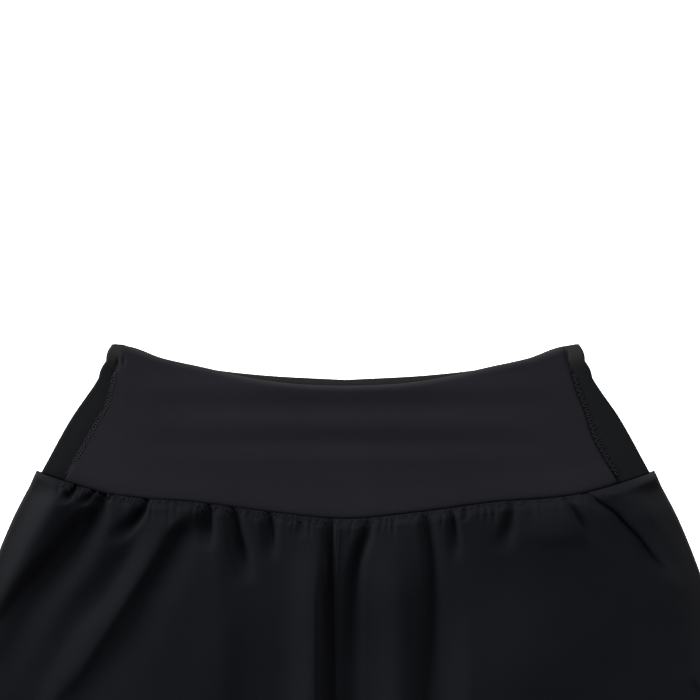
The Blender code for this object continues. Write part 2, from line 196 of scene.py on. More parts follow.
# %% Helper that makes a sheet
def cloth_sheet(name, columns, rows, place, wall, *materials, outer_right=False):
    """A sheet of cloth. place(i, j) takes arrays of column and row numbers and gives x, drop and z.

    A second material goes on the inside of the cloth. The UV map counts from the left edge, or back from the
    right one where that is the outer edge."""
    bpy.ops.object.select_all(action="DESELECT")
    bpy.ops.mesh.primitive_grid_add(x_subdivisions=columns, y_subdivisions=rows, size=2)
    piece = bpy.context.object
    piece.name = piece.data.name = name
    mesh = piece.data
    flat = np.empty(len(mesh.vertices) * 3)
    mesh.vertices.foreach_get("co", flat)
    flat = flat.reshape(-1, 3)
    i = np.rint((flat[:, 0] + 1) / 2 * columns).astype(int)
    j = np.rint((1 - flat[:, 1]) / 2 * rows).astype(int)
    x, drop, z = place(*np.meshgrid(np.arange(columns + 1), np.arange(rows + 1), indexing="ij"))
    points = np.stack([x, LENGTH / 2 - drop, z], axis=-1)
    mesh.vertices.foreach_set("co", points[i, j].ravel())

    across = np.zeros(x.shape)
    across[1:] = np.cumsum(np.linalg.norm(np.diff(points, axis=0), axis=-1), axis=0)
    if outer_right:
        across = across - across[-1]
    down = np.zeros(x.shape)
    down[:, 1:] = np.cumsum(np.linalg.norm(np.diff(points, axis=1), axis=-1), axis=1)
    corner = np.empty(len(mesh.loops), int)
    mesh.loops.foreach_get("vertex_index", corner)
    uv = np.stack([across[i, j][corner], down[i, j][corner]], axis=-1)
    mesh.uv_layers.active.data.foreach_set("uv", uv.ravel())
    mesh.uv_layers.active.name = "cloth"

    mesh.shade_smooth()
    for material in materials:
        mesh.materials.append(material)
    thicken = piece.modifiers.new("wall", "SOLIDIFY")
    thicken.thickness = wall
    thicken.offset = -1
    thicken.use_quality_normals = True
    thicken.material_offset = len(materials) - 1
    bpy.ops.object.modifier_apply(modifier=thicken.name)
    triangles = sum(len(p.vertices) - 2 for p in piece.data.polygons)
    print(name, "triangles", triangles, "highest", round(float(z.max()), 4))
    return piece


def dress(piece, node):
    """Rides a sheet on the root and hides the imported node that it stands for."""
    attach(piece, "root")
    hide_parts(node)


# %% [markdown]
# ## Cloth finishes
# All three cloths are nearly black, but not the same: the yoke is a smooth knit with a violet cast, the band
# is an open rib, neutral and a little greyer inside, and the legs are a light weave with a blue cast. Two
# finishes of thread go with them. Black cloth has hardly any gloss. What light there is comes from the fuzz
# of its fibres, so it gets a little sheen. Along a folded edge the colour is made paler, as a painted
# highlight. The threads are bands along both directions of the UV map, bent slightly by noise, and a broad
# noise varies the dye.

# %% Helper for the nodes of a material
MATH = "ShaderNodeMath"
VECTOR_MATH = "ShaderNodeVectorMath"
NOISE = "ShaderNodeTexNoise"
WAVE_UNIT = math.tau / 20
DRIFT_SCALE = 60.0
DRIFT_SHARE = 0.8
FIBRE_SCALE = 2500.0
DYE_SCALE = 14.0
DYE_RANGE = (0.25, 0.95)
WEAR_SHARE = 0.25
NOISE_DETAIL = 3.0
RIM_DEPTH = 0.0060


def add_node(tree, kind, inputs, operation=None):
    """Adds a node. inputs gives, by a socket's name or number, its value or the output that feeds it."""
    node = tree.nodes.new(kind)
    if operation:
        node.operation = operation
    for socket, given in inputs.items():
        if isinstance(given, bpy.types.NodeSocket):
            tree.links.new(given, node.inputs[socket])
        else:
            node.inputs[socket].default_value = given
    return node


# %% Helpers for the threads and the colour of a cloth
def thread_height(tree, uv, pitch, ribs):
    """How high the threads stand. A wave repeats each WAVE_UNIT / scale, so the bands are a pitch apart."""
    drift = add_node(tree, NOISE, {"Vector": uv, "Scale": DRIFT_SCALE})
    reach = pitch[0] * DRIFT_SHARE
    bend = add_node(tree, VECTOR_MATH, {0: drift.outputs["Color"], "Scale": reach}, "SCALE")
    bent = add_node(tree, VECTOR_MATH, {0: uv, 1: bend.outputs["Vector"]}, "ADD")
    parts = []
    for axis, step, share in zip("XY", pitch, ribs):
        scale = WAVE_UNIT / step
        band = add_node(tree, "ShaderNodeTexWave", {"Vector": bent.outputs["Vector"], "Scale": scale})
        band.bands_direction = axis
        part = add_node(tree, MATH, {0: band.outputs["Fac"], 1: share}, "MULTIPLY")
        parts.append(part.outputs[0])
    return add_node(tree, MATH, {0: parts[0], 1: parts[1]}, "ADD").outputs[0]


def dyed_colour(tree, threads, colour, blotch):
    """The colour, up to a share of blotch darker or paler, and palest on the crowns of the threads."""
    place = add_node(tree, "ShaderNodeTexCoord", {})
    dye = add_node(tree, NOISE,
                   {"Vector": place.outputs["Object"], "Scale": DYE_SCALE, "Detail": NOISE_DETAIL})
    wear = add_node(tree, MATH, {0: threads, 1: WEAR_SHARE, 2: dye.outputs["Fac"]}, "MULTIPLY_ADD")
    ramp = add_node(tree, "ShaderNodeValToRGB", {"Fac": wear.outputs[0]})
    for stop, position, change in zip(ramp.color_ramp.elements, DYE_RANGE, (-blotch, blotch)):
        stop.position = position
        stop.color = (*(part * (1 + change) for part in colour), 1.0)
    return ramp.outputs["Color"]


def painted_rim_highlight(tree, uv, dyed, gain, axis, depth):
    """The dyed colour with a painted highlight, raised by the shares in gain at a folded edge, which fades out
    a depth in from it.
    """
    from_edges = add_node(tree, "ShaderNodeSeparateXYZ", {"Vector": uv})
    inward = add_node(tree, MATH, {0: from_edges.outputs[axis]}, "ABSOLUTE")
    edge = add_node(tree, "ShaderNodeMapRange",
                    {"Value": inward.outputs[0], "From Max": depth, "To Min": 1.0, "To Max": 0.0})
    edge.interpolation_type = "SMOOTHSTEP"
    lighter = add_node(tree, VECTOR_MATH,
                       {0: edge.outputs["Result"], 1: gain, 2: (1.0, 1.0, 1.0)}, "MULTIPLY_ADD")
    return add_node(tree, VECTOR_MATH, {0: dyed, 1: lighter.outputs["Vector"]}, "MULTIPLY").outputs[0]


# %% Helper for a cloth material
CLOTH_GLOSS = {
    "Roughness": 0.95, "Specular IOR Level": 0.03,
    "Sheen Roughness": 0.45, "Sheen Tint": (0.90, 0.92, 1.0, 1.0),
}
RELIEF_STRENGTH = 0.5


def cloth_material(name, colour, pitch, ribs, sheen, relief, blotch=0.10, rim_highlight=None, rim_axis="Y",
                   rim_depth=RIM_DEPTH):
    """pitch is (across, down) of the threads in metres, ribs how strongly each direction shows.

    The edge colour given is a painted highlight along a folded edge, and rim_depth how far in it goes. That
    edge is the top one when rim_axis is Y, and the outer side when it is X."""
    material = bpy.data.materials.new(name)
    material.use_nodes = True
    tree = material.node_tree
    shader = tree.nodes["Principled BSDF"]
    for socket, value in CLOTH_GLOSS.items():
        shader.inputs[socket].default_value = value
    shader.inputs["Sheen Weight"].default_value = sheen

    cloth_map = add_node(tree, "ShaderNodeUVMap", {})
    cloth_map.uv_map = "cloth"
    uv = cloth_map.outputs["UV"]
    threads = thread_height(tree, uv, pitch, ribs)
    fibre = add_node(tree, NOISE, {"Vector": uv, "Scale": FIBRE_SCALE, "Detail": NOISE_DETAIL})
    surface = add_node(tree, MATH, {0: threads, 1: fibre.outputs["Fac"]}, "ADD")
    raised = add_node(tree, "ShaderNodeBump",
                      {"Height": surface.outputs[0], "Strength": RELIEF_STRENGTH, "Distance": relief})
    tree.links.new(raised.outputs["Normal"], shader.inputs["Normal"])

    dyed = dyed_colour(tree, threads, colour, blotch)
    # Painted highlight: the colour is made paler along a folded edge.
    if rim_highlight:
        gain = [pale / dark - 1 for pale, dark in zip(rim_highlight, colour)]
        dyed = painted_rim_highlight(tree, uv, dyed, gain, rim_axis, rim_depth)
    tree.links.new(dyed, shader.inputs["Base Color"])
    return material


# %% The finishes
# The pale edge colours below are painted highlights: along the yoke's top fold, the band's casing, the top of
# the band's inside and the outer sides of the legs.
CASING_RIM_DEPTH = 0.0190
SIDE_RIM_DEPTH = 0.0420
YOKE_KNIT = cloth_material(
    "yoke_knit", (0.0107, 0.0104, 0.0133), (0.00055, 0.00070), (0.8, 0.5), 0.006, 0.00008,
    rim_highlight=(0.0185, 0.0185, 0.0200),
)
BAND_KNIT = cloth_material(
    "band_knit", (0.0070, 0.0074, 0.0083), (0.00110, 0.00060), (1.0, 0.3), 0.006, 0.00014,
    rim_highlight=(0.0230, 0.0230, 0.0225), rim_depth=CASING_RIM_DEPTH,
)
BAND_INSIDE = cloth_material(
    "band_inside", (0.0136, 0.0138, 0.0141), (0.00110, 0.00060), (1.0, 0.3), 0.006, 0.00014,
    rim_highlight=(0.0175, 0.0175, 0.0175),
)
LEG_CLOTH = cloth_material(
    "leg_cloth", (0.0050, 0.0054, 0.0070), (0.00045, 0.00045), (0.6, 0.6), 0.010, 0.00005, blotch=0.22,
    rim_highlight=(0.0092, 0.0094, 0.0102), rim_axis="X", rim_depth=SIDE_RIM_DEPTH,
)
LIGHT_THREAD = cloth_material(
    "light_thread", (0.0215, 0.0218, 0.0245), (0.0003, 0.0003), (0.7, 0.2), 0.02, 0.00005,
)
DARK_THREAD = cloth_material(
    "dark_thread", (0.0130, 0.0134, 0.0160), (0.0003, 0.0003), (0.7, 0.2), 0.02, 0.00005,
)
FINISHES = (YOKE_KNIT, BAND_KNIT, BAND_INSIDE, LEG_CLOTH, LIGHT_THREAD, DARK_THREAD)
print("finishes:", *(finish.name for finish in FINISHES))

# %% [markdown]
# ## The yoke
# The yoke is a doubled piece of smooth knit across the front of the waist. It is held between the two side
# seams, so it sinks a little in the middle and carries soft waves from side to side. Its top is a fold of
# the same knit, so that edge is round. Its lower edge is pressed down along the waist seam, harder on the
# right half than on the left, and at the two top corners the elastic pulls short dents into the cloth.

# %% Height of the waist
LEG_WALL = 0.0012
LAYER_GAP = 0.0004
YOKE_WALL = 0.0013
BAND_HEIGHT = 0.0050
YOKE_SINK = 0.0011
YOKE_WAVE_HEIGHT = 0.0009
YOKE_WAVE_PITCH = 0.026
YOKE_WAVE_CREST = 0.0565
YOKE_WAVE_END = 0.092
YOKE_SWELL = 0.0012
YOKE_SWELL_REACH = 0.022
RIM_REACH = 0.0046
RIM_FALL = 0.0021
EDGE_REACH = 0.0036
EDGE_FALL = 0.0005
SEAM_FALL_RIGHT = 2.2
SEAM_FALL_START = -0.040
SEAM_FALL_WIDTH = 0.080
Pucker = namedtuple("Pucker", "x drop half_x half_drop depth")
PUCKERS = (
    Pucker(-0.1590, 0.0140, 0.0014, 0.0036, 0.0015), Pucker(-0.1545, 0.0120, 0.0012, 0.0030, 0.0010),
    Pucker(-0.1615, 0.0205, 0.0013, 0.0026, 0.0009), Pucker(0.1546, 0.0092, 0.0013, 0.0040, 0.0015),
    Pucker(0.1562, 0.0150, 0.0014, 0.0030, 0.0011), Pucker(0.1590, 0.0205, 0.0014, 0.0028, 0.0010),
)


def pucker_dip(x, drop):
    """How far the elastic at the two corners pulls the cloth in, in short dents beside the side seams."""
    return sum(
        dent.depth * bump(x - dent.x, dent.half_x) * bump(drop - dent.drop, dent.half_drop)
        for dent in PUCKERS
    )


def yoke_height(x, drop):
    """Height of the yoke's outer face: it sinks between its side seams, in soft waves."""
    across = np.minimum(np.abs(x) / YOKE_LEFT[0].distance, 1.0)
    wave = YOKE_WAVE_HEIGHT * np.cos(math.tau * (drop - YOKE_WAVE_CREST) / YOKE_WAVE_PITCH)
    calm = (1 - across**2) * ease((YOKE_WAVE_END - drop) / YOKE_WAVE_PITCH)
    swell = YOKE_SWELL * ease(1 - (waist_seam(x) - drop) / YOKE_SWELL_REACH)
    return BAND_HEIGHT + swell - YOKE_SINK * (1 - across**4) + wave * calm


def rounded(distance, reach, fall):
    """How far a round edge has dropped at a distance in from it: a quarter of an ellipse."""
    inside = np.clip(1 - distance / reach, 0.0, 1.0)
    return fall * (1 - np.sqrt(1 - inside**2))


print("yoke height at its middle", round(float(yoke_height(0.0, YOKE_WAVE_CREST)), 4))

# %% Sew the yoke
YOKE_COLUMNS = 200
YOKE_ROWS = 90
YOKE_CROWDING = 1.5
SIDE_CROWDING = 0.6


def yoke_side(rows, v):
    """Distance and drop on a side seam of the yoke, from its top to the waist seam."""
    drop = mix(curve(FRONT_TOP, rows[0].distance), waist_seam(rows[-1].distance), v)
    return curve(rows, drop), drop


def yoke_left(v):
    distance, drop = yoke_side(YOKE_LEFT, v)
    return -distance, drop


def yoke_right(v):
    return yoke_side(YOKE_RIGHT, v)


def yoke_top(u):
    x = mix(yoke_left(0.0)[0], yoke_right(0.0)[0], u)
    return x, curve(FRONT_TOP, np.abs(x))


def yoke_bottom(u):
    x = mix(yoke_left(1.0)[0], yoke_right(1.0)[0], u)
    return x, waist_seam(x)


yoke_plan = patch(yoke_top, yoke_bottom, yoke_left, yoke_right)


def place_yoke(i, j):
    turn = math.tau * i / YOKE_COLUMNS
    u = (turn - SIDE_CROWDING * np.sin(turn)) / math.tau
    v = (j / YOKE_ROWS) ** YOKE_CROWDING
    x, drop = yoke_plan(u, v)
    from_top = drop - yoke_plan(u, 0.0)[1]
    from_seam = yoke_plan(u, 1.0)[1] - drop
    from_side = np.minimum(x - yoke_left(v)[0], yoke_right(v)[0] - x)
    pressed = mix(1.0, SEAM_FALL_RIGHT, ease((x - SEAM_FALL_START) / SEAM_FALL_WIDTH))
    edges = pressed * rounded(from_seam, EDGE_REACH, EDGE_FALL) + rounded(from_side, EDGE_REACH, EDGE_FALL)
    edges = edges + pucker_dip(x, drop)
    return x, drop, yoke_height(x, drop) - rounded(from_top, RIM_REACH, RIM_FALL) - edges


yoke = cloth_sheet("yoke", YOKE_COLUMNS, YOKE_ROWS, place_yoke, YOKE_WALL, YOKE_KNIT)

# %% [markdown]
# ## The band
# The band is one rib-knit piece: from the right side seam it turns round the fold, runs across the whole
# back and comes round the left fold to the other seam. Its top is a casing with elastic inside, which
# bunches the knit into short soft rolls that can be seen at both corners. The dents beside the side seams
# run on into it.

# %% Sew the band
BAND_WALL = 0.0014
BAND_ROLL = BAND_HEIGHT / 2
CASING_DEPTH = 0.0235
CASING_ROLLS = 2
CASING_SWELL = 0.0013
STRIP_STEPS = 24
TURN_STEPS = 14
BACK_STEPS = 90
BAND_ROWS = 90
BAND_COLUMNS = 2 * (STRIP_STEPS + TURN_STEPS + BACK_STEPS)
BAND_CROWDING = 1.2
SEAM_DIP = 0.0008
SEAM_DIP_REACH = 0.0050
SEAM_HOLD = 3


def band_fold(v):
    """Distance and drop where the band starts to turn round its side."""
    drop = mix(0.0, waist_seam(BAND_SIDE[-1].distance - BAND_ROLL), v)
    casing = np.minimum(drop / CASING_DEPTH, 1.0)
    swell = CASING_SWELL * np.abs(np.sin(math.pi * CASING_ROLLS * casing))
    return curve(BAND_SIDE, drop) + swell - BAND_ROLL, drop


def half_top(u):
    x = u * band_fold(0.0)[0]
    return x, curve(BACK_TOP, x)


def half_bottom(u):
    x = u * band_fold(1.0)[0]
    return x, waist_seam(x)


def half_middle(v):
    return 0.0 * v, mix(half_top(0.0)[1], half_bottom(0.0)[1], v)


half_plan = patch(half_top, half_bottom, half_middle, band_fold)


def place_band(i, j):
    """Columns run from the right seam to the left one, over both folds and across the back.

    SEAM_HOLD says how fast a turned edge, away from the waist seam, lets go of that seam's line."""
    v = (j / BAND_ROWS) ** BAND_CROWDING
    side = np.where(i <= BAND_COLUMNS / 2, 1, -1)
    k = np.where(side > 0, i, BAND_COLUMNS - i)
    strip = np.clip(k / STRIP_STEPS, 0, 1)
    turn = np.clip((k - STRIP_STEPS) / TURN_STEPS, 0, 1)
    back = np.clip((BAND_COLUMNS / 2 - k) / BACK_STEPS, 0, 1)
    seam_right, seam_left = yoke_side(YOKE_RIGHT, v), yoke_side(YOKE_LEFT, v)
    seam = [np.where(side > 0, right, left) for right, left in zip(seam_right, seam_left)]
    fold = band_fold(v)
    angle = math.pi * (0.5 - turn)
    turned = fold[0] + BAND_ROLL * np.cos(angle)
    turned_drop = fold[1] + (waist_seam(turned) - waist_seam(fold[0])) * v**SEAM_HOLD
    half = half_plan(back, v)
    on_back = k > STRIP_STEPS + TURN_STEPS
    on_strip = k < STRIP_STEPS
    x = np.where(on_back, half[0], np.where(on_strip, mix(seam[0], fold[0], strip), turned))
    drop = np.where(on_back, half[1], np.where(on_strip, mix(seam[1], fold[1], strip), turned_drop))
    z = np.where(on_back, 0.0, BAND_ROLL * (1 + np.sin(angle)))
    dip = SEAM_DIP * bump(x - seam[0], SEAM_DIP_REACH) + pucker_dip(side * x, drop)
    return side * x, drop, z - np.where(on_strip, dip, 0.0)


band = cloth_sheet("band", BAND_COLUMNS, BAND_ROWS, place_band, BAND_WALL, BAND_KNIT, BAND_INSIDE)

# %% [markdown]
# ## Folds of the legs
# The leg panels are cut wider than the waist seam and gathered into it, so the cloth puffs up under the
# seam and settles towards the hem. Between the puffs run valleys. Each one here is drawn as a path from the
# seam downwards, with a width on each side of it at its start and its end. They are cut out of the puffed
# height as a share of it, so a valley can never go below the back panel. Where a fold has been pressed over,
# the cloth beside it is also pushed over the valley as a lip, to the left where the push is below zero.
# Long rolls are added on top: they lean, steep on one side and slow on the other, and that is what makes
# one stretch of cloth lighter than the next. Two pillows of cloth swell below the seam, and runs of fine
# gathers, a few millimetres apart, take a share off the height close under it.

# %% Table of valleys
Fold = namedtuple("Fold", "path left right depth head tail push")
FOLDS = (
    Fold(
        ((-0.1870, 0.0985), (-0.1935, 0.1110)),
        (0.0030, 0.0044), (0.0016, 0.0022), 0.90, 0.0, 0.6, -0.0006,
    ),
    Fold(
        ((-0.1750, 0.1020), (-0.1815, 0.1130)),
        (0.0024, 0.0034), (0.0016, 0.0022), 0.86, 0.0, 0.6, -0.0006,
    ),
    Fold(
        ((-0.1675, 0.1040), (-0.1725, 0.1210), (-0.1880, 0.1435), (-0.2060, 0.1650), (-0.2210, 0.1870),
         (-0.2325, 0.2085), (-0.2470, 0.2380), (-0.2610, 0.2640)),
        (0.0064, 0.0165), (0.0034, 0.0260), 0.96, 0.0, 0.25, -0.0008,
    ),
    Fold(
        ((-0.1765, 0.1100), (-0.1845, 0.1210), (-0.1995, 0.1435), (-0.2180, 0.1650), (-0.2350, 0.1870),
         (-0.2480, 0.2085), (-0.2600, 0.2380)),
        (0.0040, 0.0060), (0.0080, 0.0110), 0.60, 0.15, 0.35, 0.0,
    ),
    Fold(((-0.1620, 0.1050), (-0.1665, 0.1110)), (0.0016, 0.0020), (0.0014, 0.0018), 0.60, 0.0, 0.6, 0.0),
    Fold(
        ((-0.1376, 0.1080), (-0.1405, 0.1180), (-0.1490, 0.1290), (-0.1620, 0.1420)),
        (0.0042, 0.0080), (0.0018, 0.0030), 0.90, 0.0, 0.80, -0.0010,
    ),
    Fold(
        ((-0.1390, 0.1180), (-0.1480, 0.1400), (-0.1650, 0.1690), (-0.1880, 0.1960), (-0.2060, 0.2250),
         (-0.2240, 0.2600), (-0.2400, 0.3050)),
        (0.0080, 0.0230), (0.0070, 0.0110), 0.50, 0.20, 0.30, 0.0,
    ),
    Fold(
        ((-0.0990, 0.1150), (-0.1090, 0.1280), (-0.1160, 0.1370), (-0.1215, 0.1475), (-0.1270, 0.1585),
         (-0.1350, 0.1740), (-0.1430, 0.1935), (-0.1555, 0.2130), (-0.1700, 0.2320), (-0.1870, 0.2530),
         (-0.2090, 0.2900)),
        (0.0060, 0.0135), (0.0090, 0.0210), 0.50, 0.10, 0.25, 0.0006,
    ),
    Fold(((-0.0940, 0.1130), (-0.0934, 0.1440)), (0.0054, 0.0090), (0.0020, 0.0026), 0.93, 0.0, 0.55, 0.0),
    Fold(
        ((-0.0790, 0.1135), (-0.0770, 0.1240), (-0.0742, 0.1370), (-0.0712, 0.1500), (-0.0675, 0.1680)),
        (0.0034, 0.0066), (0.0040, 0.0064), 0.88, 0.0, 0.50, 0.0006,
    ),
    Fold(
        ((-0.0530, 0.1155), (-0.0518, 0.1300), (-0.0500, 0.1520)),
        (0.0036, 0.0050), (0.0022, 0.0040), 0.90, 0.0, 0.70, 0.0,
    ),
    Fold(((-0.0310, 0.1175), (-0.0290, 0.1360)), (0.0022, 0.0050), (0.0022, 0.0040), 0.34, 0.0, 0.7, 0.0),
    Fold(
        ((-0.0098, 0.1190), (-0.0094, 0.1500), (-0.0092, 0.1800), (-0.0090, 0.2450), (-0.0088, 0.3200)),
        (0.0040, 0.0060), (0.0016, 0.0022), 0.68, 0.0, 0.35, -0.0004,
    ),
    Fold(
        ((-0.0154, 0.1500), (-0.0156, 0.2050), (-0.0154, 0.3400)),
        (0.0024, 0.0030), (0.0066, 0.0080), 0.50, 0.16, 0.35, 0.0,
    ),
    Fold(
        ((0.0162, 0.1190), (0.0144, 0.1330), (0.0108, 0.1440), (0.0080, 0.1570), (0.0068, 0.1730),
         (0.0056, 0.2420), (0.0030, 0.3200)),
        (0.0036, 0.0120), (0.0030, 0.0056), 0.64, 0.0, 0.35, 0.0,
    ),
    Fold(
        ((0.0546, 0.1155), (0.0560, 0.1300), (0.0585, 0.1500), (0.0592, 0.1720), (0.0588, 0.2072),
         (0.0580, 0.2420), (0.0575, 0.3000)),
        (0.0030, 0.0052), (0.0046, 0.0095), 0.58, 0.0, 0.5, 0.0,
    ),
    Fold(
        ((0.0735, 0.1140), (0.0750, 0.1300), (0.0770, 0.1540)),
        (0.0024, 0.0046), (0.0018, 0.0042), 0.60, 0.0, 0.65, 0.0,
    ),
    Fold(((0.0835, 0.1130), (0.0820, 0.1240)), (0.0016, 0.0028), (0.0016, 0.0026), 0.42, 0.0, 0.7, 0.0),
    Fold(
        ((0.1150, 0.1100), (0.1140, 0.1240), (0.1100, 0.1470)),
        (0.0022, 0.0090), (0.0020, 0.0056), 0.46, 0.0, 0.6, 0.0,
    ),
    Fold(
        ((0.1520, 0.1060), (0.1600, 0.1200), (0.1720, 0.1420)),
        (0.0016, 0.0022), (0.0040, 0.0090), 0.34, 0.0, 0.6, 0.0,
    ),
    Fold(
        ((0.1650, 0.1030), (0.1858, 0.1145), (0.1950, 0.1235), (0.2048, 0.1333), (0.2118, 0.1425),
         (0.2190, 0.1508), (0.2310, 0.1616), (0.2450, 0.1696)),
        (0.0040, 0.0090), (0.0060, 0.0120), 0.40, 0.0, 0.35, 0.0,
    ),
    Fold(
        ((0.1650, 0.1020), (0.1845, 0.1148), (0.1936, 0.1239), (0.2034, 0.1337), (0.2104, 0.1429),
         (0.2176, 0.1512), (0.2300, 0.1620), (0.2440, 0.1700)),
        (0.0018, 0.0026), (0.0012, 0.0016), 0.40, 0.0, 0.40, -0.0004,
    ),
    Fold(((0.2420, 0.2320), (0.2540, 0.2520)), (0.0030, 0.0040), (0.0016, 0.0020), 0.35, 0.4, 0.5, 0.0),
)
print("valleys", len(FOLDS))

# %% Table of rolls
Roll = namedtuple("Roll", "path left right height head tail")
ROLLS = (
    Roll(((-0.1950, 0.095), (-0.2065, 0.115), (-0.2205, 0.138), (-0.2360, 0.163), (-0.2560, 0.205)),
         0.020, 0.012, 0.0100, 0.15, 0.4),
    Roll(((-0.1560, 0.104), (-0.1640, 0.122), (-0.1790, 0.143), (-0.1960, 0.167), (-0.2140, 0.192),
          (-0.2350, 0.225)), 0.007, 0.010, 0.0010, 0.10, 0.8),
    Roll(((-0.1120, 0.110), (-0.1230, 0.130), (-0.1390, 0.156), (-0.1540, 0.178), (-0.1700, 0.203),
          (-0.1860, 0.228), (-0.2050, 0.250), (-0.2250, 0.280)), 0.013, 0.005, 0.0034, 0.10, 0.4),
    Roll(((-0.0860, 0.135), (-0.0860, 0.200), (-0.0960, 0.400)), 0.024, 0.014, 0.0036, 0.35, 0.4),
    Roll(((-0.0215, 0.122), (-0.0205, 0.200), (-0.0270, 0.390)), 0.0138, 0.009, 0.0104, 0.20, 0.4),
    Roll(((-0.1500, 0.290), (-0.1620, 0.400)), 0.018, 0.030, 0.0026, 0.50, 0.2),
    Roll(((-0.2380, 0.260), (-0.2520, 0.395)), 0.020, 0.014, 0.0028, 0.50, 0.2),
    Roll(((0.0300, 0.122), (0.0370, 0.200), (0.0350, 0.390)), 0.0165, 0.016, 0.0088, 0.20, 0.4),
    Roll(((0.0860, 0.150), (0.0880, 0.220), (0.0840, 0.400)), 0.018, 0.085, 0.0105, 0.35, 0.5),
    Roll(((0.1900, 0.280), (0.1960, 0.400)), 0.030, 0.020, 0.0028, 0.50, 0.2),
    Roll(((0.2110, 0.098), (0.2240, 0.118), (0.2380, 0.140), (0.2490, 0.166), (0.2590, 0.200)),
         0.022, 0.008, 0.0120, 0.20, 0.5),
    Roll(((0.2440, 0.240), (0.2600, 0.395)), 0.016, 0.014, 0.0028, 0.50, 0.2),
)
Pillow = namedtuple("Pillow", "x drop half_x half_up half_down height")
PILLOWS = (
    Pillow(0.1450, 0.1300, 0.0230, 0.0180, 0.0090, 0.0046),
    Pillow(-0.0880, 0.1400, 0.0060, 0.0160, 0.0250, 0.0014),
)
print("rolls", len(ROLLS), "pillows", len(PILLOWS))

# %% Table of fine gathers
Run = namedtuple("Run", "start end pitch half reach depth")
GATHERS = (
    Run(-0.1990, -0.1380, 0.0062, 0.0013, 0.0075, 0.26), Run(-0.1340, -0.1040, 0.0075, 0.0013, 0.0090, 0.16),
    Run(-0.1020, -0.0030, 0.0053, 0.0012, 0.0070, 0.26), Run(0.0030, 0.0650, 0.0058, 0.0012, 0.0070, 0.22),
    Run(0.0660, 0.1320, 0.0071, 0.0013, 0.0080, 0.18), Run(0.1340, 0.1800, 0.0083, 0.0014, 0.0060, 0.12),
)
GATHER_PLACE_SPREAD = 0.8
GATHER_REACH_SPREAD = 0.5
GATHER_DEPTH_SPREAD = 0.6
GATHER_WIDTH_SPREAD = 0.3
GOLDEN = (math.sqrt(5) - 1) / 2


def vary(number, spread):
    """A share around 1 that differs from one number to the next, always the same for each.

    A multiple of a counter gives each measure of a gather or a stitch a run of its own."""
    return 1 + spread * (2 * (number * GOLDEN % 1.0) - 1)


def gather_share(x, below):
    """How much of the cloth's height the fine gathers leave at each place."""
    share = np.ones(np.broadcast(x, below).shape)
    for run in GATHERS:
        for number in range(int((run.end - run.start) / run.pitch)):
            place = run.start + (number + 0.5 * vary(number, GATHER_PLACE_SPREAD)) * run.pitch
            reach = run.reach * vary(2 * number + 1, GATHER_REACH_SPREAD)
            depth = run.depth * vary(3 * number + 2, GATHER_DEPTH_SPREAD)
            half = run.half * vary(5 * number, GATHER_WIDTH_SPREAD) * (1 + below / reach / 2)
            share = share * (1 - depth * bump(x - place, half) * bump(below, reach))
    return share


print("fine gathers", sum(int((run.end - run.start) / run.pitch) for run in GATHERS))


# %% Height of the legs
LEG_LOWEST = LEG_WALL + LAYER_GAP + LEG_WALL
PLAIN_HEIGHT = 0.0034
PUFF_HEIGHT = 0.0096
PUFF_REACH = 0.125
PUFF_RISE = 0.0065
SIDE_HEIGHT = 0.0058
SIDE_REACH = 0.018
SEAM_BLEND = 0.013
SEAM_STIFF = 0.0015
LEG_ROLL = 0.0045
LEG_ROLL_FOOT = LEG_WALL + 0.0001
LEG_ROLL_LIP = 0.0011
CROTCH_BLEND = 0.028
CROTCH_LIFT = 0.0008
LEG_GAP_CURVE = 0.7
EDGE_CALM = 0.70
SEAM_RIDGE = 0.0009
SEAM_RIDGE_PLACE = 0.0010
SEAM_RIDGE_HALF = 0.0012
HEM_DEPTH = 0.0100
HEM_STEP = 0.0015
HEM_RISE = 0.0006
SLOPE_STEP = 0.002
LIP_START = 0.4
LIP_END = 2
LIP_REACH = 0.010


def leg_inner(side, drop):
    """x of the inner edge of a leg panel: the centre seam, and below the crotch the inside leg."""
    below = np.maximum(drop - CROTCH_DROP, 0.0) / (LENGTH - CROTCH_DROP)
    return curve(CENTRE_SEAM, drop) + side * LEG_GAP_HALF * below**LEG_GAP_CURVE


def leg_open(drop):
    """0 where the two legs are one body of cloth, and 1 where each has an inside edge of its own."""
    return ease((drop - CROTCH_DROP + CROTCH_BLEND) / CROTCH_BLEND)


def beside(path, x, drop):
    """How far each place lies to the right of a path, how far along it, and how much the path leans."""
    line = [(d, px) for px, d in path]
    start, end = line[0][0], line[-1][0]
    lean = (curve(line, drop + SLOPE_STEP) - curve(line, drop - SLOPE_STEP)) / (2 * SLOPE_STEP)
    return (x - curve(line, drop)) / np.hypot(1.0, lean), (drop - start) / (end - start), lean


def fold_shape(fold, x, drop):
    """Offset from a valley's path, its half width on that side, its fade along the path, and its lean."""
    offset, along, lean = beside(fold.path, x, drop)
    share = np.clip(along, 0.0, 1.0)
    half = np.where(offset < 0, mix(*fold.left, share), mix(*fold.right, share))
    fade = 1 - ease((along - 1 + fold.tail) / fold.tail)
    return offset, half, fade * (ease(along / fold.head) if fold.head else 1.0), lean


def fold_push(fold, x, drop):
    """How far the cloth beside a valley is pushed over it, across and down.

    LIP_START and LIP_END are in half widths of the valley, out from its path."""
    offset, half, fade, lean = fold_shape(fold, x, drop)
    over = np.maximum(-offset * np.sign(fold.push), 0.0)
    rise = ease((over / half - LIP_START) / (LIP_END - LIP_START))
    crest = rise * (1 - ease((over - LIP_END * half) / LIP_REACH))
    push = fold.push * crest * fade / np.hypot(1.0, lean)
    return push, -push * lean


def roll_rise(roll, x, drop):
    """Height that one long roll of cloth adds at each place."""
    offset, along, _ = beside(roll.path, x, drop)
    fade = ease(along / roll.head) * (ease((1 - along) / roll.tail) if roll.tail else 1.0)
    return roll.height * bump(offset, np.where(offset < 0, roll.left, roll.right)) * fade


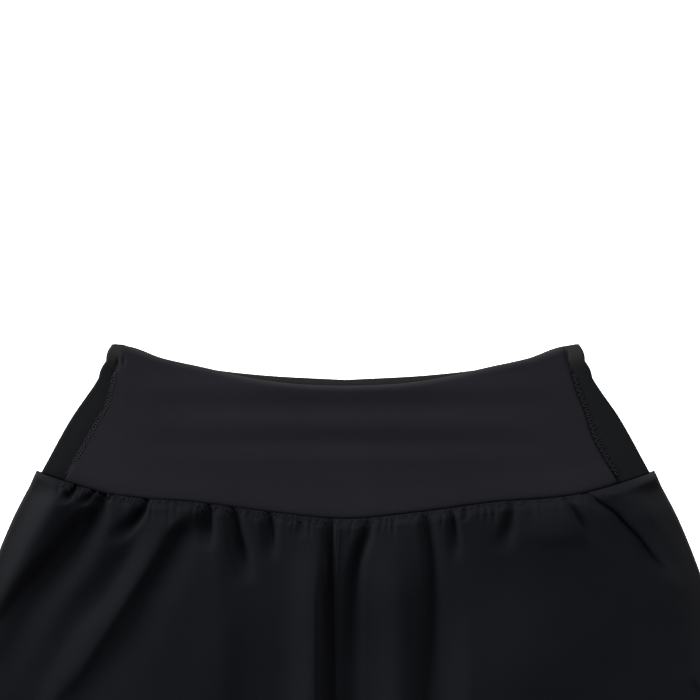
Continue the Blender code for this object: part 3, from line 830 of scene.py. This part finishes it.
def pillow_rise(pillow, x, drop):
    """Height of a pillow of cloth that is held at the seam above it and falls off below."""
    down = drop - pillow.drop
    return (pillow.height * bump(x - pillow.x, pillow.half_x)
            * bump(down, np.where(down < 0, pillow.half_up, pillow.half_down)))


def edge_share(side, x, drop):
    """1 at a folded edge of a leg and 0 away from it."""
    to_side = np.maximum(curve(LEG_SIDE, drop) - LEG_ROLL - np.abs(x), 0.0)
    to_inner = np.maximum(np.abs(x - leg_inner(side, drop)) - LEG_ROLL, 0.0)
    return np.maximum(bump(to_side, SIDE_REACH), bump(to_inner, SIDE_REACH) * leg_open(drop))


def leg_height(side, x, drop):
    """Height of a front leg panel's outer face."""
    seam = curve(CENTRE_SEAM, drop)
    from_seam = np.abs(x - seam)
    x = seam + (x - seam) * ease(from_seam / SEAM_STIFF)
    below = np.maximum(drop - waist_seam(x), 0.0)
    at_seam = yoke_height(x, waist_seam(x)) - LEG_LOWEST
    rise = 1 - np.clip(1 - below / PUFF_RISE, 0.0, 1.0) ** 2
    cloth = mix(at_seam, PLAIN_HEIGHT + PUFF_HEIGHT * bump(below, PUFF_REACH), rise)
    away = ease(below / SEAM_BLEND)
    edge = edge_share(side, x, drop) * away
    cloth = cloth * (1 - edge) + SIDE_HEIGHT * edge
    calm = 1 - EDGE_CALM * edge
    for roll in ROLLS:
        cloth = cloth + roll_rise(roll, x, drop) * calm * away
    for pillow in PILLOWS:
        cloth = cloth + pillow_rise(pillow, x, drop) * away
    cloth = cloth * gather_share(x, below)
    for fold in FOLDS:
        offset, half, fade, _ = fold_shape(fold, x, drop)
        cloth = cloth * (1 - fold.depth * bump(offset, half) * fade * calm)
    ridge = SEAM_RIDGE * bump(from_seam - SEAM_RIDGE_PLACE, SEAM_RIDGE_HALF) * (1 - leg_open(drop)) * away
    return LEG_LOWEST + cloth + ridge + HEM_RISE * ease((drop - hem_line(x) + HEM_DEPTH) / HEM_STEP)


print("height in the centre valley", round(float(leg_height(-1, np.array(-0.012), np.array(0.2))), 4))

# %% Sew the front legs
SHEET_WALL = 0.0007
TURN_ANGLES = (12, 26, 42, 60, 76, 90)
LEG_COLUMNS = 350
LEG_ROWS = 134
HEM_ROWS = 8
ROW_CROWDING = 1.45
COLUMN_CROWDING = 1.15


def leg_plan(side, roll_width, hem_extra=0.0):
    """The space between a leg panel's four edges, out to where its side edge turns."""
    def side_edge(v):
        top = waist_seam(LEG_SIDE[0].distance - roll_width)
        drop = mix(top, hem_line(LEG_SIDE[-1].distance) + hem_extra, v)
        return side * (curve(LEG_SIDE, drop) - roll_width), drop

    def inner_edge(v):
        drop = mix(waist_seam(0.0), hem_line(0.0) + hem_extra, v)
        return leg_inner(side, drop), drop

    def top_edge(u):
        x = mix(inner_edge(0.0)[0], side_edge(0.0)[0], u)
        return x, waist_seam(x)

    def hem_edge(u):
        x = mix(inner_edge(1.0)[0], side_edge(1.0)[0], u)
        return x, hem_line(x) + hem_extra

    return patch(top_edge, hem_edge, inner_edge, side_edge)


def leg_rows(j):
    """Rows are close together under the waist seam and at the hem, where the shape changes fastest."""
    length = float(hem_line(0.0) - waist_seam(0.0))
    hem = 1 - HEM_DEPTH / length
    body = hem * np.minimum(j / (LEG_ROWS - HEM_ROWS), 1.0) ** ROW_CROWDING
    return body + (1 - hem) * np.clip((j - LEG_ROWS + HEM_ROWS) / HEM_ROWS, 0, 1)


def place_leg(side):
    """Columns run from the inner edge, turned under below the crotch, out to the side edge, turned under."""
    plan = leg_plan(side, LEG_ROLL)
    inset = LEG_ROLL / (LEG_SIDE[0].distance - LEG_ROLL)
    turns = len(TURN_ANGLES) + 1
    angles = np.radians((0, *TURN_ANGLES, TURN_ANGLES[-1]))

    def place(i, j):
        k = i if side > 0 else LEG_COLUMNS - i
        v = leg_rows(j)
        inner_turn = np.clip(turns - k, 0, turns)
        outer_turn = np.clip(k - (LEG_COLUMNS - turns), 0, turns)
        flat = np.clip((k - turns) / (LEG_COLUMNS - 2 * turns), 0, 1) ** COLUMN_CROWDING
        x0, drop = plan(mix(inset, 1.0, flat), v)
        top = leg_height(side, x0, drop)

        angle = angles[outer_turn]
        out_x = x0 + side * LEG_ROLL * np.sin(angle)
        out_z = mix(LEG_ROLL_FOOT + LEG_ROLL_LIP, top, np.cos(angle))
        out_z = np.where(outer_turn == turns, LEG_ROLL_FOOT, out_z)
        out_drop = drop + (waist_seam(out_x) - waist_seam(x0)) * (1 - v) ** SEAM_HOLD

        angle = angles[inner_turn]
        edge_x = leg_inner(side, drop)
        opened = leg_open(drop)
        foot = LEG_ROLL_FOOT + CROTCH_LIFT * bump(drop - CROTCH_DROP, CROTCH_BLEND)
        in_z = mix(foot + LEG_ROLL_LIP, top, np.cos(angle))
        in_z = np.where(inner_turn == turns, foot, in_z)
        level_x = mix(x0, edge_x, inner_turn / turns)
        in_x = mix(level_x, mix(x0, edge_x, np.sin(angle)), opened)
        in_z = mix(leg_height(side, level_x, drop), in_z, opened)

        x = np.where(outer_turn > 0, out_x, np.where(inner_turn > 0, in_x, x0))
        z = np.where(outer_turn > 0, out_z, np.where(inner_turn > 0, in_z, top))
        flat_drop = np.where(outer_turn > 0, out_drop, drop)
        free = ease((np.abs(x0 - edge_x) - LEG_ROLL) / LIP_REACH) * ease((drop - waist_seam(x0)) / PUFF_RISE)
        for fold in FOLDS:
            across, down = fold_push(fold, x0, drop)
            x = x + across * free
            flat_drop = flat_drop + down * free
        return x, flat_drop, z

    return place


def front_leg(name, side):
    place = place_leg(side)
    return cloth_sheet(name, LEG_COLUMNS, LEG_ROWS, place, SHEET_WALL, LEG_CLOTH, outer_right=side > 0)


front_left = front_leg("front_leg_left_cloth", -1)
front_right = front_leg("front_leg_right_cloth", 1)

# %% [markdown]
# ## The back of the legs
# The back panels lie flat on the table, under the front ones. Only their hems show, because the back hem is
# cut a little longer. They are the same cloth.

# %% Sew the back legs
BACK_HEM_EXTRA = 0.005
BACK_COLUMNS = 90
BACK_ROWS = 80


def place_back(side):
    plan = leg_plan(side, 0.0, BACK_HEM_EXTRA)

    def place(i, j):
        k = i if side > 0 else BACK_COLUMNS - i
        x, drop = plan(k / BACK_COLUMNS, j / BACK_ROWS)
        return x, drop, np.full(x.shape, LEG_WALL)

    return place


def back_leg(name, side):
    place = place_back(side)
    return cloth_sheet(name, BACK_COLUMNS, BACK_ROWS, place, LEG_WALL, LEG_CLOTH, outer_right=side > 0)


back_left = back_leg("back_leg_left_cloth", -1)
back_right = back_leg("back_leg_right_cloth", 1)

# %% [markdown]
# ## Small gathers
# Between the big folds the legs are gathered finely, in tucks a few millimetres long that end under the
# waist seam. One tuck is modelled as a round pad, copied along each stretch that has them, and joined. Each
# copy is turned a little and has a length of its own, so that no two neighbours match.

# %% Helpers for small repeated pieces
PAD_UV_START = 0.10


def small_pad(name, size, segments, rings, material):
    """A small closed pad of the given size (x, y, z), centred on the origin."""
    bpy.ops.object.select_all(action="DESELECT")
    bpy.ops.mesh.primitive_uv_sphere_add(segments=segments, ring_count=rings, radius=0.5)
    pad = bpy.context.object
    pad.name = pad.data.name = name
    pad.scale = size
    bpy.ops.object.transform_apply()
    pad.data.uv_layers.active.name = "cloth"
    for corner in pad.data.uv_layers["cloth"].data:
        corner.uv = (corner.uv[0] * size[0] + PAD_UV_START, corner.uv[1] * size[1] + PAD_UV_START)
    pad.data.shade_smooth()
    pad.data.materials.append(material)
    return pad


def copied(name, pad, spots):
    """One object joined from copies of a pad, each at (x, drop, z) with a tilt, a turn and a length."""
    bpy.ops.object.select_all(action="DESELECT")
    for x, drop, z, tilt, turn, length in spots:
        copy = bpy.data.objects.new(name, pad.data.copy())
        bpy.context.scene.collection.objects.link(copy)
        copy.location = (x, LENGTH / 2 - drop, z)
        copy.rotation_euler = (tilt, 0.0, turn)
        copy.scale = (1.0, length, 1.0)
        copy.select_set(True)
        bpy.context.view_layer.objects.active = copy
    bpy.ops.object.join()
    piece = bpy.context.object
    bpy.ops.object.transform_apply()
    piece.name = piece.data.name = name
    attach(piece, "root")
    print(name, "copies", len(spots), "triangles", sum(len(p.vertices) - 2 for p in piece.data.polygons))
    return piece


# %% Tuck the cloth under the waist seam
Tucks = namedtuple("Tucks", "start end pitch length")
LEFT_TUCKS = (
    Tucks(-0.1960, -0.1420, 0.0027, 1.1), Tucks(-0.1300, -0.1060, 0.0030, 0.7),
    Tucks(-0.1030, -0.0035, 0.0023, 1.0),
)
RIGHT_TUCKS = (
    Tucks(0.0035, 0.0640, 0.0029, 0.9), Tucks(0.0680, 0.1300, 0.0037, 0.7),
    Tucks(0.1340, 0.1680, 0.0045, 0.5),
)
TUCK_SIZE = (0.0022, 0.0056, 0.0019)
TUCK_BELOW = 0.0018
TUCK_SINK = 0.0002
TUCK_TURN = 0.35
TUCK_OFFSET = 0.35
TUCK_PLACE_SPREAD = 0.9
TUCK_LENGTH_SPREAD = 0.45


def tuck_spots(side, runs):
    """A place under the waist seam for each tuck, tilted as the cloth is there."""
    spots = []
    for run in runs:
        for number in range(int((run.end - run.start) / run.pitch)):
            x = run.start + (number + TUCK_OFFSET * vary(number, TUCK_PLACE_SPREAD)) * run.pitch
            length = run.length * vary(number * 2 + 1, TUCK_LENGTH_SPREAD)
            drop = float(waist_seam(x)) + TUCK_BELOW * length
            above, here, under = leg_height(side, np.full(3, x), drop + TUCK_BELOW * np.array((-1, 0, 1)))
            tilt = -math.atan((under - above) / (2 * TUCK_BELOW))
            turn = TUCK_TURN * (vary(number * 3, 1.0) - 1)
            spots.append((x, drop, here - TUCK_SINK, tilt, turn, length))
    return spots


tuck = small_pad("tuck", TUCK_SIZE, 10, 6, LEG_CLOTH)
tucks_left = copied("tucks_left", tuck, tuck_spots(-1, LEFT_TUCKS))
tucks_right = copied("tucks_right", tuck, tuck_spots(1, RIGHT_TUCKS))

# %% [markdown]
# ## Stitches
# The left side seam shows a chain of light thread, the right one a ladder of darker thread that lies on the
# band. The hems have one plain row, eight millimetres from the edge. One stitch is a thin pad of thread,
# copied down each seam.

# %% Sew the seams
STITCH_SIZE = (0.0008, 0.0024, 0.0008)
CHAIN_PITCH = 0.0021
CHAIN_LEAN = 0.70
CHAIN_HALF = 0.0007
CHAIN_START = 0.021
LADDER_PITCH = 0.0019
LADDER_LENGTH = 1.75
LADDER_OUT = 0.0024
LADDER_LEAN = (1.15, 1.75)
LADDER_START = 0.022
HEM_PITCH = 0.0030
HEM_ROW = 0.0080
HEM_START = 2.5
HEM_SPARE = 3
SEAM_END = 0.003
STITCH_HEIGHT = BAND_HEIGHT + 0.0001
STITCH_LENGTH_SPREAD = 0.2
CHAIN_OUT_SPREAD = 0.4
LADDER_OUT_SPREAD = 0.15
LADDER_LEAN_SPREAD = 0.08
EDGE_SAMPLES = 400


def along(edge):
    """Measures an edge given as a function of v: what is at a distance down it, and its length."""
    v = np.linspace(0.0, 1.0, EDGE_SAMPLES)
    x, drop = edge(v)
    run = np.concatenate([[0.0], np.cumsum(np.hypot(np.diff(x), np.diff(drop)))])

    def step(at):
        """x, drop and heading at a distance down the edge."""
        ahead, behind = at + SLOPE_STEP, at - SLOPE_STEP
        across = float(np.interp(ahead, run, x) - np.interp(behind, run, x))
        down = float(np.interp(ahead, run, drop) - np.interp(behind, run, drop))
        return float(np.interp(at, run, x)), float(np.interp(at, run, drop)), math.atan2(across, down)

    return step, float(run[-1])


def chain_spots():
    """Pairs of stitches down the left side seam, each pair a small arrow."""
    step, length = along(yoke_left)
    spots = []
    for number in range(int((length - CHAIN_START - SEAM_END) / CHAIN_PITCH)):
        x, drop, heading = step(CHAIN_START + number * CHAIN_PITCH)
        for arm in (-1, 1):
            out = arm * CHAIN_HALF * vary(number, CHAIN_OUT_SPREAD)
            size = vary(number * 2 + arm, STITCH_LENGTH_SPREAD)
            spots.append((x + out * math.cos(heading), drop - out * math.sin(heading), STITCH_HEIGHT,
                          0.0, heading + arm * CHAIN_LEAN, size))
    return spots


def ladder_spots():
    """Long stitches beside the right side seam, with two leans in turn."""
    step, length = along(yoke_right)
    spots = []
    for number in range(int((length - LADDER_START - SEAM_END) / LADDER_PITCH)):
        x, drop, heading = step(LADDER_START + number * LADDER_PITCH)
        out = LADDER_OUT * vary(number, LADDER_OUT_SPREAD)
        lean = LADDER_LEAN[number % 2] * vary(number * 3, LADDER_LEAN_SPREAD)
        size = LADDER_LENGTH * vary(number * 2, STITCH_LENGTH_SPREAD)
        spots.append((x + out * math.cos(heading), drop - out * math.sin(heading), STITCH_HEIGHT,
                      0.0, heading + lean, size))
    return spots


def hem_spots(side):
    """One plain row along a hem. It starts HEM_START pitches in, and HEM_SPARE stitches are left out."""
    spots = []
    start = float(leg_inner(side, LENGTH))
    end = side * float(LEG_SIDE[-1].distance - LEG_ROLL * 2)
    for number in range(int(abs(end - start) / HEM_PITCH) - HEM_SPARE):
        x = start + side * (number + HEM_START) * HEM_PITCH
        drop = float(hem_line(x)) - HEM_ROW
        z = float(leg_height(side, np.array(x), np.array(drop)))
        spots.append((x, drop, z, 0.0, math.pi / 2, 1.0))
    return spots


light_stitch = small_pad("light_stitch", STITCH_SIZE, 8, 5, LIGHT_THREAD)
dark_stitch = small_pad("dark_stitch", STITCH_SIZE, 8, 5, DARK_THREAD)
chain = copied("chain_stitches", light_stitch, chain_spots())
ladder = copied("ladder_stitches", dark_stitch, ladder_spots())
hem_left = copied("hem_stitches_left", dark_stitch, hem_spots(-1))
hem_right = copied("hem_stitches_right", dark_stitch, hem_spots(1))
for pad in (tuck, light_stitch, dark_stitch):
    bpy.data.objects.remove(pad)

# %% [markdown]
# ## Each sheet in place of its node
# Each rebuilt piece of cloth rides on the root, and the imported node that it stands for is hidden.

# %% Put each sheet in place of its node
dress(yoke, "front_yoke")
dress(band, "back_band")
dress(front_left, "front_leg_left")
dress(front_right, "front_leg_right")
for piece, node in ((back_left, "back_leg_left"), (back_right, "back_leg_right")):
    dress(piece, node)

# %% [markdown]
# ## Table and light
# A white table under broad white light throws no hard shadow. The table glows a little, as a lit panel does,
# and the room is bright all round, as in a light tent. Three wide lamps stand low at the left, the right and
# the top, the left one strongest, and draw out the folds.

# %% Make the table
TABLE_WIDTH = 6
TABLE_TOP = -0.0002
TABLE_FINISH = {
    "Base Color": (0.92, 0.92, 0.92, 1.0), "Roughness": 1.0, "Specular IOR Level": 0.0,
    "Emission Color": (1.0, 1.0, 1.0, 1.0), "Emission Strength": 1.7,
}

bpy.ops.object.select_all(action="DESELECT")
bpy.ops.mesh.primitive_plane_add(size=TABLE_WIDTH, location=(0, 0, TABLE_TOP))
table = bpy.context.object
table.name = "table"
white = bpy.data.materials.new("table_white")
white.use_nodes = True
for socket, value in TABLE_FINISH.items():
    white.node_tree.nodes["Principled BSDF"].inputs[socket].default_value = value
table.data.materials.append(white)
print("table", TABLE_WIDTH, "metres wide")

# %% Light it
Lamp = namedtuple("Lamp", "name place size power")
LAMPS = (
    Lamp("lamp_left", (-2.6, 0.20, 1.10), 2.3, 134),
    Lamp("lamp_right", (1.9, 0.15, 0.75), 1.7, 7),
    Lamp("lamp_top", (0.0, 2.0, 0.75), 1.7, 54),
)
LAMP_AIM = (0.0, 0.1, 0.0)
ROOM_LIGHT = 0.34

room = bpy.data.worlds.new("room")
room.use_nodes = True
room.node_tree.nodes["Background"].inputs["Color"].default_value = (1.0, 1.0, 1.0, 1.0)
room.node_tree.nodes["Background"].inputs["Strength"].default_value = ROOM_LIGHT
bpy.context.scene.world = room
for lamp in LAMPS:
    light = bpy.data.lights.new(lamp.name, "AREA")
    light.shape = "DISK"
    light.size = lamp.size
    light.energy = lamp.power
    holder = bpy.data.objects.new(lamp.name, light)
    holder.location = lamp.place
    aim = Vector(LAMP_AIM) - Vector(lamp.place)
    holder.rotation_euler = aim.to_track_quat("-Z", "Y").to_euler()
    bpy.context.scene.collection.objects.link(holder)
bpy.context.scene.view_settings.view_transform = "Standard"
print("lamps", len(LAMPS))
